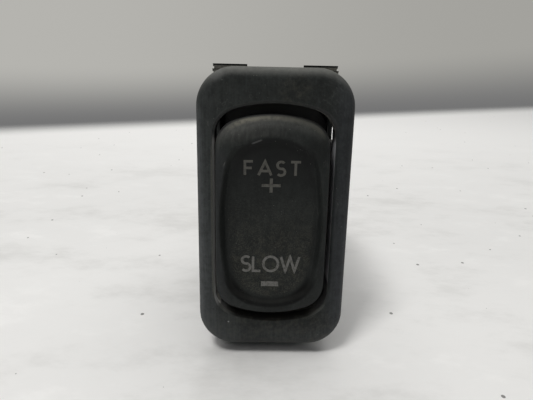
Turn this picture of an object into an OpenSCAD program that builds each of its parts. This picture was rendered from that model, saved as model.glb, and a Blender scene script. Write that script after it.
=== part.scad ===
// Momentary speed control rocker switch for a vehicle dash panel.
// X runs across the panel, Z up it and Y into it. The bezel seats on the panel at Y = 0.

/* [Bezel] */
// Width of the bezel
bezel_w = 26.2; // [25:0.2:29]
// Height of the bezel
bezel_h = 49.6; // [48.6:0.2:53]
// Thickness of the bezel in front of the panel
bezel_t = 3; // [2.6:0.1:3.6]
// Radius of the bezel's corners
bezel_corner_r = 6.4; // [5:0.1:7]
// Radius rolled onto the bezel's front edge
bezel_roll_r = 2.1; // [1:0.1:2.3]
// Chamfer around the opening's front edge
opening_chamfer = 0.4; // [0.1:0.05:0.5]

/* [Opening and rocker] */
// Width of the opening that the rocker stands in
opening_w = 20; // [19.6:0.1:20.6]
// Height of the opening at its middle
opening_h = 38.2; // [37.6:0.1:38.8]
// Radius of the opening's bowed ends
opening_end_r = 24; // [20:0.5:30]
// Radius of the opening's corners
opening_corner_r = 4.6; // [3:0.1:5]
// Gap between the rocker and the opening at each side
rocker_side_gap = 0.55; // [0.4:0.05:0.8]
// Gap between the rocker and the opening at each end
rocker_end_gap = 1.7; // [1.4:0.1:2.2]
// Distance that the rocker lies off centre, its side play taken up
rocker_shift = -0.35; // [-0.35:0.05:0.35]
// Radius of the rocker's bowed ends
rocker_end_r = 21; // [18:0.5:28]
// Radius of the rocker's corners
rocker_corner_r = 4.5; // [3:0.1:5]
// Height of the rocker's rim in front of the bezel
rocker_proud = 1.1; // [0.6:0.1:1.5]
// Depth of the rocker from its rim to the edge of its skirt
rocker_depth = 5.1; // [4.6:0.1:5.5]
// Wall of the rocker's skirt
rocker_wall = 1.2; // [0.9:0.1:1.5]
// Thickness of the rocker behind the deepest point of its dish
rocker_skin = 1.2; // [1:0.1:1.5]
// Radius rolled onto the rocker's outer edge
rocker_roll_r = 0.5; // [0.3:0.05:0.7]
// Radius of the rim's rounded face, which falls back from the dish to the outer edge
rim_r = 5.2; // [4.8:0.1:9]
// Width of the dish in the rocker's face
dish_w = 17.8; // [15:0.2:18]
// Height of the dish
dish_h = 29.4; // [26:0.2:30]
// Height of the dish's middle from the pivot
dish_z = -1; // [-2:0.1:0.5]
// Depth of the dish's middle below the rim
dish_depth = 1.7; // [1.4:0.05:1.8]
// Radius of the dish's hollow floor from end to end
dish_floor_r = 76; // [70:1:120]
// Radius of the dish's bowed sides
dish_side_r = 50; // [40:1:90]
// Radius of the dish's bowed ends
dish_end_r = 12.5; // [11.5:0.5:20]
// Radius of the dish's corners
dish_corner_r = 3.5; // [2.5:0.1:4]
// Width of the dish's sloping edge
dish_slope = 1.1; // [0.8:0.1:1.5]
// Thickness of the translucent plate behind the rocker's face
lens_t = 0.8; // [0.5:0.1:1.1]

/* [Body] */
// Wall at the sides of the body
side_wall = 0.9; // [0.7:0.05:1.2]
// Wall at the ends of the body
end_wall = 0.9; // [0.7:0.05:1.2]
// Depth of the body behind the panel face
body_depth = 30; // [28.5:0.5:34]
// Radius of the corners inside the body
body_corner_r = 2; // [1:0.1:2.5]
// Radius of the corners of the pocket that the rocker stands in
pocket_corner_r = 3.6; // [2:0.1:4]
// Distance from the middle of the body to the edge of its guide rails
rail_z = 22.4; // [21.6:0.1:22.8]
// Thickness of a guide rail
rail_t = 1.2; // [0.9:0.1:1.6]
// Distance between neighbouring guide rails
rail_pitch = 3.9; // [3.2:0.1:4.1]
// Height of the window in each side wall beside the rocker
window_h = 4.2; // [3:0.2:5]
// Height of that window's middle
window_z = 14.7; // [14:0.1:15]
// Distance from the panel face to that window
window_y = 1.3; // [0.4:0.1:2]
// Depth of that window
window_d = 6; // [3:0.2:6.2]
// Width of the posts in the body's corners, which the base rests on
corner_post_w = 2.4; // [1.8:0.2:3]
// Height of the plug's key above the side wall
key_d = 1.1; // [0.7:0.1:1.3]
// Width of the key
key_w = 1.2; // [0.8:0.1:1.6]
// Distance from the middle of the body to the key
key_z = 4.8; // [3.6:0.1:6]
// Distance by which the key stands back from the base
key_setback = 0.8; // [0.4:0.1:1.5]

/* [Snap legs] */
// Distance from the middle of the body to the tip of a leg
leg_tip_z = 25.6; // [25:0.1:26]
// Distance from the panel face to the first step of a leg
leg_nose_y = 3.5; // [2.8:0.1:4]
// Rise and run of each step
leg_step = 0.9; // [0.8:0.05:1]
// Distance from the middle of the body to the inner side of a leg
leg_inner_x = 5.2; // [4.9:0.1:6]
// Width of a leg
leg_w = 5.6; // [4.4:0.1:5.7]
// Width by which a step's tooth overhangs the leg at each side
tooth_overhang = 0.2; // [0.1:0.01:0.25]
// Height of a step's tooth
tooth_h = 0.45; // [0.3:0.05:0.6]
// Length of a step's tooth
tooth_l = 0.8; // [0.5:0.05:0.85]
// Distance by which a tooth stands in front of its step
tooth_lip = 0.12; // [0.05:0.01:0.15]
// Length of the land behind the last step
leg_land = 1; // [0.6:0.1:1.4]
// Length of the slope behind that land
leg_ramp = 6.5; // [5:0.5:9]
// Thickness of a leg's springing arm
leg_t = 1.3; // [1:0.1:1.5]
// Distance from the panel face to a leg's root
leg_root_y = 25; // [23:0.2:27]
// Length over which a leg's root runs out into the body
leg_runout = 2; // [1:0.1:2.5]

/* [Mechanism] */
// Distance from the panel face to the pivot pin
pivot_y = 5; // [4.6:0.1:5.4]
// Radius of the pivot pin
pin_r = 1; // [0.8:0.05:1.2]
// Radius of the rocker's pivot ears
ear_r = 3.2; // [2.6:0.1:3.4]
// Thickness of a pivot ear
ear_t = 1.4; // [1.1:0.1:1.6]
// Distance by which an ear stands back from the rocker's side
ear_inset = 0.1; // [0.05:0.05:0.2]
// Distance from the pivot to the foot of an ear
ear_foot = 11.6; // [10:0.2:11.8]
// Angle that the rocker tilts to each side
tilt = 8; // [6:0.5:8]
// Distance from the pivot to each plunger
plunger_z = 11; // [10.6:0.1:11.5]
// Radius of a plunger's stem and of its domed tip
stem_r = 1.6; // [1.2:0.1:1.8]
// Radius of the rocker's pressing posts
post_r = 1.7; // [1.3:0.1:1.9]
// Width of the webs that stiffen those posts
web_w = 4.4; // [4:0.2:6]
// Thickness of the webs
web_t = 1; // [0.8:0.1:1.3]
// Radius of a plunger's collar
collar_r = 2.7; // [2.4:0.1:3]
// Thickness of a plunger's collar
collar_t = 0.9; // [0.7:0.1:1.2]
// Radius of a plunger's tail
tail_r = 1; // [0.8:0.05:1.1]
// Thickness of the partition that guides the plungers
partition_t = 1.8; // [1.4:0.1:2.4]
// Length of the guide boss in front of the partition
boss_h = 1.6; // [1:0.1:1.7]
// Wall of the guide boss
boss_wall = 0.8; // [0.6:0.1:1.1]
// Radius of the return springs' wire
wire_r = 0.22; // [0.16:0.01:0.25]
// Mean radius of the return springs
coil_r = 1.65; // [1.6:0.05:1.8]
// Number of turns in a return spring
coil_turns = 6; // [4:0.5:7]

/* [Contacts and terminals] */
// Distance from the middle of the body to each contact
contact_x = 5; // [4.8:0.1:5.2]
// Radius of a contact
contact_r = 1.1; // [0.9:0.05:1.2]
// Thickness of a contact
contact_t = 0.7; // [0.5:0.05:0.9]
// Gap left between the contacts at full tilt
contact_gap = 0.1; // [0.06:0.02:0.3]
// Thickness of a contact bridge
bridge_t = 0.5; // [0.4:0.05:0.7]
// Width of a contact bridge
bridge_w = 3.4; // [2.8:0.1:3.8]
// Length of a contact bridge beyond each contact
bridge_margin = 0.3; // [0.1:0.05:0.6]
// Radius of a contact bridge's corners
bridge_corner_r = 0.6; // [0.3:0.1:1]
// Distance from the middle of the body to each row of blades
blade_x = 6.2; // [6:0.1:6.4]
// Width of a blade
blade_w = 2.8; // [2:0.1:3.2]
// Thickness of a blade
blade_t = 0.8; // [0.6:0.1:1]
// Length of the taper at a blade's end
blade_lead = 0.6; // [0.4:0.05:0.8]
// Distance by which the blades stop short of the body's rear edge
blade_recess = 1.5; // [0.6:0.1:2.4]
// Length of a terminal's pad inward of its contact
pad_margin = 0.2; // [0.1:0.05:0.5]
// Height of the seats that hold the terminals' pads
seat_h = 2.2; // [1.6:0.1:2.8]
// Thickness of the base
base_t = 2.4; // [2:0.1:2.8]
// Width of each latch that holds the base
latch_w = 5; // [3:0.2:6]
// Distance from the middle of the body to each latch
latch_z = 9; // [8:0.2:11]
// Distance by which a latch reaches into the side wall
latch_reach = 0.63; // [0.4:0.01:0.65]
// Length of the latch's locking edge
latch_land = 0.4; // [0.2:0.1:0.8]

/* [Lamps] */
// Thickness of the lamp board
board_t = 1; // [0.8:0.1:1.2]
// Height of the lamp board
board_h = 14.6; // [13:0.2:15]
// Distance from the pivot to each lamp
lamp_z = 4.6; // [4.2:0.1:5]
// Width of a lamp's case
lamp_w = 3; // [2.4:0.1:3.4]
// Height of a lamp's case
lamp_h = 2.8; // [2:0.1:3]
// Thickness of a lamp's case
lamp_t = 1.4; // [0.8:0.1:1.6]
// Radius of a lamp's round lens
lamp_lens_r = 1.05; // [0.7:0.05:1.2]
// Height of that lens in front of the case
lamp_lens_h = 0.2; // [0.1:0.05:0.4]
// Width of the square pins that feed the lamps
lamp_pin_w = 0.8; // [0.6:0.05:0.9]
// Length of a pin in front of the lamp board
lamp_pin_tip = 0.4; // [0.2:0.1:0.8]
// Distance from the middle of the board to the resistor
resistor_x = 3.6; // [3:0.1:4]
// Length of the resistor
resistor_l = 2.4; // [1.6:0.1:2.6]
// Width of the resistor
resistor_w = 1.2; // [0.8:0.1:1.6]
// Thickness of the resistor
resistor_t = 0.55; // [0.4:0.05:0.8]

/* [Fits] */
// Radial clearance of the pivot and of the plungers
running_fit = 0.05; // [0.03:0.01:0.09]
// Gap around a piece that is fitted by hand
loose_fit = 0.1; // [0.06:0.01:0.15]
// Gap around a terminal that is pressed into its slot
press_fit = 0.02; // [0.01:0.01:0.04]
// Gap between a plunger's tip and the rocker
tip_gap = 0.12; // [0.08:0.01:0.2]
// Clearance kept around a piece that swings or slides
swing_gap = 0.25; // [0.2:0.05:0.4]

/* [Hidden] */

corner_steps = 7;
end_steps = 12;
roll_steps = 3;
rim_steps = 3;
slope_steps = 6;
floor_rings = [0.8, 0.45];
outline_pitch = 2.4;
cut = 0.5;
join = 0.3;
seat_gap = 0.02;
closed_pitch = 2.1 * wire_r;

housing_black = [0.14, 0.145, 0.14];
rocker_black = [0.16, 0.165, 0.16];
lens_white = [0.86, 0.88, 0.84];
steel = [0.72, 0.73, 0.74];
plunger_grey = [0.80, 0.79, 0.74];
copper = [0.76, 0.47, 0.30];
silver = [0.85, 0.85, 0.83];
tin = [0.74, 0.74, 0.72];
base_grey = [0.20, 0.20, 0.21];
board_green = [0.10, 0.36, 0.20];
lamp_white = [0.95, 0.94, 0.88];
resistor_black = [0.08, 0.08, 0.09];

// Outlines of the body's hollow and of its outside
hollow_w = opening_w;
hollow_h = opening_h;
body_w = hollow_w + 2 * side_wall;
body_h = hollow_h + 2 * end_wall;

// Rocker, from its rim to its skirt
rocker_w = opening_w - 2 * rocker_side_gap;
rocker_h = opening_h - 2 * rocker_end_gap;
rim_y = -bezel_t - rocker_proud;
dish_y = rim_y + dish_depth;
skin_y = dish_y + rocker_skin;
lens_y = skin_y + lens_t;
skirt_y = rim_y + rocker_depth;

// Travel of a plunger at full tilt
travel = plunger_z * tilt * PI / 180;

// Stations from the pivot to the rear
partition_y = pivot_y + ear_r + 3 * swing_gap;
chamber_y = partition_y + partition_t;
collar_y = chamber_y + travel + swing_gap;
bridge_y = collar_y + collar_t;
moving_y = bridge_y + bridge_t;
fixed_y = moving_y + contact_t + travel + contact_gap;
pad_y = fixed_y + contact_t;
seat_y = pad_y + blade_t;
base_y = seat_y + seat_h;
rear_y = base_y + base_t;
blade_y = body_depth - blade_recess;
board_y = partition_y - board_t;
spigot_r = tail_r;
spigot_y = base_y - seat_h + swing_gap;
tail_y = spigot_y - travel - swing_gap;

// Widths that depend on the rocker's ears
ear_x = rocker_w / 2 - ear_inset - ear_t;
board_w = 2 * (ear_x - 2 * swing_gap - abs(rocker_shift));
pad_in_x = contact_x - contact_r - pad_margin;
pad_out_x = blade_x + blade_t / 2;
bridge_x = contact_x + contact_r + bridge_margin;

// Points along an arc
function arc(cx, cy, r, from, to, steps, first = 0, last = 0) =
    [for (i = [first : steps - last])
        let (a = from + (to - from) * i / steps)
        [cx + r * cos(a), cy + r * sin(a)]];

// Outline of a tall shape with straight sides, bowed ends and rounded corners
function barrel(w, h, end_r, corner_r) =
    let (
        cx = w / 2 - corner_r,
        ez = h / 2 - end_r,
        cz = ez + sqrt(pow(end_r - corner_r, 2) - cx * cx),
        lean = atan2(cz - ez, cx),
        upper = concat(
            arc(cx, cz, corner_r, 0, lean, corner_steps),
            arc(0, ez, end_r, lean, 180 - lean, end_steps, 1, 1),
            arc(-cx, cz, corner_r, 180 - lean, 180, corner_steps)
        )
    )
    concat(upper, [for (p = upper) [-p[0], -p[1]]]);

// Outline with bowed sides, bowed ends and rounded corners
function pillow(w, h, side_r, end_r, corner_r) =
    let (
        sx = w / 2 - side_r,
        ez = h / 2 - end_r,
        a = side_r - corner_r,
        b = end_r - corner_r,
        d = norm([sx, ez]),
        t = (a * a - b * b + d * d) / (2 * d),
        g = sqrt(a * a - t * t),
        cx = sx + (-sx * t - ez * g) / d,
        cz = (ez * t - sx * g) / d,
        low = atan2(cz, cx - sx),
        high = atan2(cz - ez, cx),
        quarter = concat(
            arc(sx, 0, side_r, 0, low, corner_steps, 1, 1),
            arc(cx, cz, corner_r, low, high, corner_steps),
            arc(0, ez, end_r, high, 90, corner_steps, 1, 1)
        ),
        upper = concat(
            [[w / 2, 0]],
            quarter,
            [[0, h / 2]],
            [for (i = [len(quarter) - 1 : -1 : 0]) [-quarter[i][0], quarter[i][1]]]
        )
    )
    concat(upper, [for (p = upper) [-p[0], -p[1]]]);

// The same outline with points no further apart than a pitch
function finer(outline, pitch) =
    [for (i = [0 : len(outline) - 1])
        let (
            p = outline[i],
            q = outline[(i + 1) % len(outline)],
            parts = ceil(norm(q - p) / pitch)
        )
        for (k = [0 : parts - 1])
            p + (q - p) * k / parts];

// Distance from the origin to an outline, along a direction
function reach(outline, d) =
    max([for (i = [0 : len(outline) - 1])
        let (
            p = outline[i],
            side = outline[(i + 1) % len(outline)] - p,
            turn = cross(d, side),
            share = turn == 0 ? -1 : cross(p, d) / turn
        )
        share < -0.0001 || share > 1.0001 ? 0 : cross(p, side) / turn]);

// A flat outline in X and Z, thick from y0 to y1
module slab(y0, y1) {
    translate([0, y1, 0])
        rotate([90, 0, 0])
            linear_extrude(height = y1 - y0)
                children();
}

// A round bar along Y from y0 to y1
module bar(y0, y1, r, x = 0, z = 0) {
    translate([x, y1, z])
        rotate([90, 0, 0])
            cylinder(h = y1 - y0, r = r, $fn = 48);
}

// A round bar along X, centred on the body
module cross_bar(length, r, y, z = 0) {
    translate([-length / 2, y, z])
        rotate([0, 90, 0])
            cylinder(h = length, r = r, $fn = 48);
}

// A box between two corners
module block(x0, x1, y0, y1, z0, z1) {
    translate([x0, y0, z0])
        cube([x1 - x0, y1 - y0, z1 - z0]);
}

// A square bar along Y where a lamp's pin stands, larger by a gap all round
module pin_block(x, y0, y1, gap) {
    half = lamp_pin_w / 2 + gap;
    block(x - half, x + half, y0, y1, -half, half);
}

// A copy on each side of the middle, at the left and at the right
module both_sides() {
    children();
    mirror([1, 0, 0]) children();
}

// A copy above the middle and one below it
module both_ends() {
    children();
    mirror([0, 0, 1]) children();
}

module rounded_box(w, h, r) {
    union() {
        square([w - 2 * r, h], center = true);
        square([w, h - 2 * r], center = true);
        for (sx = [-1, 1], sz = [-1, 1])
            translate([sx * (w / 2 - r), sz * (h / 2 - r)])
                circle(r = r, $fn = 48);
    }
}

// Section of the bezel's edge, from the corner's centre outward
module edge_section() {
    flat = bezel_corner_r - bezel_roll_r;
    union() {
        square([flat, bezel_t]);
        square([bezel_corner_r, bezel_t - bezel_roll_r]);
        intersection() {
            translate([flat, bezel_t - bezel_roll_r])
                circle(r = bezel_roll_r, $fn = 48);
            translate([flat, bezel_t - bezel_roll_r])
                square([bezel_roll_r, bezel_roll_r]);
        }
    }
}

// The bezel stands on the panel and grows toward the front
module bezel_plate() {
    straight_w = bezel_w - 2 * bezel_corner_r;
    straight_h = bezel_h - 2 * bezel_corner_r;
    rotate([90, 0, 0])
        union() {
            translate([-straight_w / 2, -straight_h / 2, 0])
                cube([straight_w, straight_h, bezel_t]);
            for (side = [0, 1]) {
                rotate([0, 0, 180 * side])
                    translate([straight_w / 2, straight_h / 2, 0])
                        rotate([90, 0, 0])
                            linear_extrude(height = straight_h)
                                edge_section();
                rotate([0, 0, 180 * side])
                    translate([-straight_w / 2, straight_h / 2, 0])
                        rotate([90, 0, 90])
                            linear_extrude(height = straight_w)
                                edge_section();
            }
            for (sx = [0, 1], sz = [0, 1])
                mirror([sx, 0, 0])
                    mirror([0, sz, 0])
                        translate([straight_w / 2, straight_h / 2, 0])
                            rotate_extrude(angle = 90, $fn = 96)
                                edge_section();
        }
}

// One leg above the body: a springing arm whose head is stepped to suit panels of several
// thicknesses
module snap_leg() {
    wall_z = body_h / 2;
    steps = 2;
    head_z = leg_tip_z - (steps + 1) * leg_step;
    land_y = leg_nose_y + steps * leg_step;
    ramp_y = land_y + leg_land + leg_ramp;
    stairs = [
        for (k = [0 : steps], corner = [0, 1])
            [leg_nose_y + k * leg_step, leg_tip_z - (steps + 1 - k - corner) * leg_step]
    ];
    back = [
        [land_y + leg_land, leg_tip_z],
        [ramp_y, head_z + leg_t / 4],
        [leg_root_y, wall_z + leg_t],
        [leg_root_y + leg_runout, wall_z],
        [leg_root_y + leg_runout, wall_z - join],
        [leg_root_y - leg_runout, wall_z - join],
        [leg_root_y - leg_runout, wall_z],
        [ramp_y, head_z - leg_t * 3 / 4],
        [land_y + leg_land * 2, head_z]
    ];
    translate([leg_inner_x, 0, 0])
        rotate([90, 0, 90])
            linear_extrude(height = leg_w)
                polygon(concat(stairs, back));
    // Teeth along the steps' outer edges
    for (k = [0 : steps])
        translate([leg_inner_x - tooth_overhang, k * leg_step, (k - steps) * leg_step])
            rotate([90, 0, 90])
                linear_extrude(height = leg_w + 2 * tooth_overhang)
                    polygon([
                        [leg_nose_y - tooth_lip, leg_tip_z],
                        [leg_nose_y + tooth_l, leg_tip_z],
                        [leg_nose_y + tooth_l / 2, leg_tip_z - tooth_h]
                    ]);
}

// Rails that guide the body in the height of the panel's cut-out
module guide_rails() {
    for (k = [-1 : 1])
        block(k * rail_pitch - rail_t / 2, k * rail_pitch + rail_t / 2,
              -bezel_t / 2, body_depth, body_h / 2 - join, rail_z);
}

// Everything that the pivot, the plungers and the lamp pins pass through
module housing_bores() {
    cross_bar(body_w + 2 * cut, pin_r, pivot_y);
    for (s = [-1, 1])
        bar(partition_y - boss_h - cut, chamber_y + cut, stem_r + running_fit, 0, s * plunger_z);
    for (s = [-1, 1])
        pin_block(s * blade_x, partition_y - cut, chamber_y + cut, loose_fit);
}

module housing_windows() {
    both_sides()
        block(hollow_w / 2 - cut, body_w / 2 + cut, window_y, window_y + window_d,
              window_z - window_h / 2, window_z + window_h / 2);
    both_sides() both_ends()
        block(hollow_w / 2 - cut, body_w / 2 + cut, base_y + latch_land, rear_y + loose_fit,
              latch_z - latch_w / 2 - loose_fit, latch_z + latch_w / 2 + loose_fit);
}

module housing() {
    color(housing_black)
        difference() {
            union() {
                difference() {
                    union() {
                        bezel_plate();
                        slab(-bezel_t / 2, body_depth)
                            rounded_box(body_w, body_h, body_corner_r + side_wall);
                        both_ends() guide_rails();
                        both_ends() both_sides() snap_leg();
                    }
                    slab(-bezel_t - cut, cut)
                        polygon(barrel(opening_w, opening_h, opening_end_r, opening_corner_r));
                    slab(0, partition_y)
                        rounded_box(hollow_w, hollow_h, pocket_corner_r);
                    slab(chamber_y, body_depth + cut)
                        rounded_box(hollow_w, hollow_h, body_corner_r);
                    // Chamfer around the opening
                    hull() {
                        slab(-bezel_t, -bezel_t + opening_chamfer)
                            polygon(barrel(opening_w, opening_h, opening_end_r,
                                           opening_corner_r));
                        slab(-bezel_t - cut, -bezel_t)
                            polygon(barrel(opening_w + 2 * opening_chamfer,
                                           opening_h + 2 * opening_chamfer,
                                           opening_end_r + opening_chamfer,
                                           opening_corner_r + opening_chamfer));
                    }
                }
                // Guide bosses of the plungers
                for (s = [-1, 1])
                    bar(partition_y - boss_h, partition_y + join,
                        stem_r + running_fit + boss_wall, 0, s * plunger_z);
                // Posts in the corners that the base rests on
                both_sides() both_ends()
                    block(hollow_w / 2 - corner_post_w, hollow_w / 2 + join,
                          chamber_y - join, base_y,
                          hollow_h / 2 - corner_post_w, hollow_h / 2 + join);
                // Key that turns the plug the right way round
                block(hollow_w / 2 - key_d, hollow_w / 2 + join, rear_y + key_setback,
                      body_depth, key_z - key_w / 2, key_z + key_w / 2);
            }
            housing_bores();
            housing_windows();
        }
}

// The rocker's hollow cap as one skin of rings: from its ceiling over the skirt, the rolled
// edge, the rounded rim and the dish's slope to the middle of the dish
module rocker_cap() {
    outer = [for (p = finer(barrel(rocker_w, rocker_h, rocker_end_r, rocker_corner_r),
                            outline_pitch))
        p - [0, dish_z]];
    inner = [for (p = barrel(rocker_w - 2 * rocker_wall, rocker_h - 2 * rocker_wall,
                             rocker_end_r - rocker_wall, rocker_corner_r - rocker_wall))
        p - [0, dish_z]];
    crest = pillow(dish_w, dish_h, dish_side_r, dish_end_r, dish_corner_r);
    foot = pillow(dish_w - 2 * dish_slope, dish_h - 2 * dish_slope, dish_side_r - dish_slope,
                  dish_end_r - dish_slope, dish_corner_r - dish_slope);
    count = len(outer);
    columns = [0 : count - 1];
    rays = [for (p = outer) p / norm(p)];
    outer_r = [for (p = outer) norm(p)];
    inner_r = [for (d = rays) reach(inner, d)];
    crest_r = [for (d = rays) reach(crest, d)];
    foot_r = [for (d = rays) reach(foot, d)];
    roll = [for (i = columns) min(rocker_roll_r, 0.8 * (outer_r[i] - crest_r[i]))];
    function rim_fall(s) = rim_r - sqrt(rim_r * rim_r - min(s, rim_r) * min(s, rim_r));
    function floor_y(z) = dish_y - dish_floor_r + sqrt(dish_floor_r * dish_floor_r - z * z);
    function at(i, r, y) = [rays[i][0] * r, y, rays[i][1] * r + dish_z];
    hollow = [
        [for (i = columns) at(i, inner_r[i], skin_y)],
        [for (i = columns) at(i, inner_r[i], skirt_y)],
        [for (i = columns) at(i, outer_r[i], skirt_y)]
    ];
    edge = [
        for (k = [0 : roll_steps])
            let (a = 90 * k / roll_steps)
            [for (i = columns)
                at(i, outer_r[i] - roll[i] * (1 - cos(a)),
                   rim_y + rim_fall(outer_r[i] - roll[i] - crest_r[i])
                   + rocker_roll_r * (1 - sin(a)))]
    ];
    rim = [
        for (k = [1 : rim_steps])
            [for (i = columns)
                let (s = (outer_r[i] - roll[i] - crest_r[i]) * (1 - k / rim_steps))
                at(i, crest_r[i] + s, rim_y + rim_fall(s))]
    ];
    slope = [
        for (k = [1 : slope_steps])
            let (u = k / slope_steps, drop = u * u * (3 - 2 * u))
            [for (i = columns)
                let (r = crest_r[i] + (foot_r[i] - crest_r[i]) * u)
                at(i, r, rim_y + (floor_y(foot_r[i] * rays[i][1]) - rim_y) * drop)]
    ];
    dish = [
        for (share = floor_rings)
            [for (i = columns)
                let (r = foot_r[i] * share)
                at(i, r, floor_y(r * rays[i][1]))]
    ];
    rings = concat(hollow, edge, rim, slope, dish);
    last = len(rings) - 1;
    walls = [
        for (j = [0 : last - 1], i = columns)
            let (n = (i + 1) % count, a = j * count, b = (j + 1) * count)
            for (face = [[a + i, b + i, a + n], [b + i, b + n, a + n]])
                face
    ];
    middle = (last + 1) * count;
    tip = [for (i = columns) [last * count + i, middle, last * count + (i + 1) % count]];
    ceiling = [for (i = columns) [(i + 1) % count, middle + 1, i]];
    polyhedron(points = concat([for (ring = rings) each ring],
                               [[0, dish_y, dish_z], [0, skin_y, dish_z]]),
               faces = concat(walls, tip, ceiling), convexity = 6);
}

// An ear that carries the rocker on its pin
module pivot_ear() {
    translate([ear_x, 0, 0])
        rotate([90, 0, 90])
            linear_extrude(height = ear_t)
                difference() {
                    union() {
                        polygon([
                            [skin_y - join, -ear_foot],
                            [skirt_y, -ear_foot],
                            [pivot_y, -ear_r],
                            [pivot_y, ear_r],
                            [skirt_y, ear_foot],
                            [skin_y - join, ear_foot]
                        ]);
                        translate([pivot_y, 0]) circle(r = ear_r, $fn = 64);
                    }
                    translate([pivot_y, 0]) circle(r = pin_r + running_fit, $fn = 64);
                }
}

module rocker() {
    color(rocker_black)
        translate([rocker_shift, 0, 0])
            union() {
                rocker_cap();
                both_sides() pivot_ear();
                // Posts that press on the plungers, each with two webs
                for (s = [-1, 1]) {
                    bar(skin_y - join, pivot_y, post_r, 0, s * plunger_z);
                    block(-web_w / 2, web_w / 2, skin_y - join, skirt_y,
                          s * plunger_z - web_t / 2, s * plunger_z + web_t / 2);
                }
            }
}

// Translucent plate behind the rocker's face, with room for the posts and webs
module rocker_lens() {
    wall = rocker_wall + loose_fit;
    color(lens_white)
        translate([rocker_shift, 0, 0])
            difference() {
                slab(skin_y, lens_y)
                    polygon(barrel(2 * (ear_x - loose_fit),
                                   rocker_h - 2 * wall,
                                   rocker_end_r - wall, rocker_corner_r - wall));
                for (s = [-1, 1]) {
                    bar(skin_y - cut, lens_y + cut, post_r + loose_fit, 0, s * plunger_z);
                    block(-web_w / 2 - loose_fit, web_w / 2 + loose_fit,
                          skin_y - cut, lens_y + cut,
                          s * plunger_z - web_t / 2 - loose_fit,
                          s * plunger_z + web_t / 2 + loose_fit);
                }
            }
}

module pivot_pin() {
    color(steel) cross_bar(body_w - loose_fit, pin_r, pivot_y);
}

// A plunger: domed stem, collar and the tail inside its spring
module plunger() {
    stem_l = collar_y - pivot_y - tip_gap;
    tail_l = tail_y - bridge_y;
    color(plunger_grey)
        translate([0, pivot_y + tip_gap, plunger_z])
            rotate([-90, 0, 0])
                rotate_extrude($fn = 64)
                    union() {
                        intersection() {
                            translate([0, stem_r]) circle(r = stem_r, $fn = 64);
                            square([stem_r, stem_r]);
                        }
                        translate([0, stem_r])
                            square([stem_r, stem_l - stem_r + join]);
                        translate([0, stem_l])
                            square([collar_r, collar_t]);
                        translate([0, stem_l + collar_t - join])
                            square([tail_r, tail_l + join]);
                    }
}

module upper_plunger() plunger();

module lower_plunger() mirror([0, 0, 1]) plunger();

// A compression spring between the contact bridge and the base, its end coils closed
module return_spring() {
    sides = 8;
    per_turn = 14;
    rings = coil_turns * per_turn;
    free = base_y - moving_y - 2 * wire_r - 2 * seat_gap;
    function rise(t) =
        t < 1 ? t * closed_pitch
        : t > coil_turns - 1 ? free - (coil_turns - t) * closed_pitch
        : closed_pitch + (free - 2 * closed_pitch) * (t - 1) / (coil_turns - 2);
    points = [
        for (i = [0 : rings])
            for (j = [0 : sides - 1])
                let (a = 360 * i / per_turn, b = 360 * j / sides, r = coil_r + wire_r * cos(b))
                [r * cos(a),
                 moving_y + seat_gap + wire_r + rise(i / per_turn) + wire_r * sin(b),
                 plunger_z + r * sin(a)]
    ];
    walls = [
        for (i = [0 : rings - 1])
            for (j = [0 : sides - 1])
                let (n = (j + 1) % sides)
                for (corner = [[n, sides + n], [sides + n, sides + j]])
                    [i * sides + j, i * sides + corner[0], i * sides + corner[1]]
    ];
    start = [[for (j = [sides - 1 : -1 : 0]) j]];
    finish = [[for (j = [0 : sides - 1]) rings * sides + j]];
    color(steel)
        polyhedron(points = points, faces = concat(walls, start, finish), convexity = 10);
}

module upper_return_spring() return_spring();

module lower_return_spring() mirror([0, 0, 1]) return_spring();

// A strip that joins two contacts, carried on the plunger's tail behind its collar
module contact_bridge() {
    color(copper)
        difference() {
            slab(bridge_y, moving_y)
                translate([0, plunger_z])
                    rounded_box(2 * bridge_x, bridge_w, bridge_corner_r);
            bar(bridge_y - cut, moving_y + cut, tail_r + loose_fit, 0, plunger_z);
        }
}

module upper_contact_bridge() contact_bridge();

module lower_contact_bridge() mirror([0, 0, 1]) contact_bridge();

// A pair of contact buttons, one at each side
module contact_pair(y) {
    color(silver)
        for (s = [-1, 1])
            bar(y, y + contact_t, contact_r, s * contact_x, plunger_z);
}

module upper_moving_contacts() contact_pair(moving_y);

module lower_moving_contacts() mirror([0, 0, 1]) contact_pair(moving_y);

module upper_fixed_contacts() contact_pair(fixed_y);

module lower_fixed_contacts() mirror([0, 0, 1]) contact_pair(fixed_y);

// Outline of a blade seen from the side, with a tapered end
module blade_outline(from) {
    polygon([
        [from, -blade_w / 2],
        [blade_y - blade_lead, -blade_w / 2],
        [blade_y, -blade_w / 2 + blade_lead],
        [blade_y, blade_w / 2 - blade_lead],
        [blade_y - blade_lead, blade_w / 2],
        [from, blade_w / 2]
    ]);
}

// A switch terminal: a pad under the fixed contact and a blade through the base
module switch_terminal() {
    color(tin)
        translate([0, 0, plunger_z]) {
            union() {
                block(pad_in_x, pad_out_x, pad_y, seat_y, -blade_w / 2, blade_w / 2);
                translate([blade_x - blade_t / 2, 0, 0])
                    rotate([90, 0, 90])
                        linear_extrude(height = blade_t)
                            blade_outline(pad_y);
            }
        }
}

module increase_input_terminal() mirror([1, 0, 0]) switch_terminal();

module increase_output_terminal() switch_terminal();

module decrease_input_terminal() mirror([1, 0, 0]) mirror([0, 0, 1]) switch_terminal();

module decrease_output_terminal() mirror([0, 0, 1]) switch_terminal();

// A lamp terminal: a narrow pin up to the lamp board and a blade behind the base
module lamp_terminal() {
    color(tin)
        union() {
            pin_block(blade_x, board_y - lamp_pin_tip, base_y + 2 * join, 0);
            translate([blade_x - blade_t / 2, 0, 0])
                rotate([90, 0, 90])
                    linear_extrude(height = blade_t)
                        blade_outline(base_y + join);
        }
}

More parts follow.
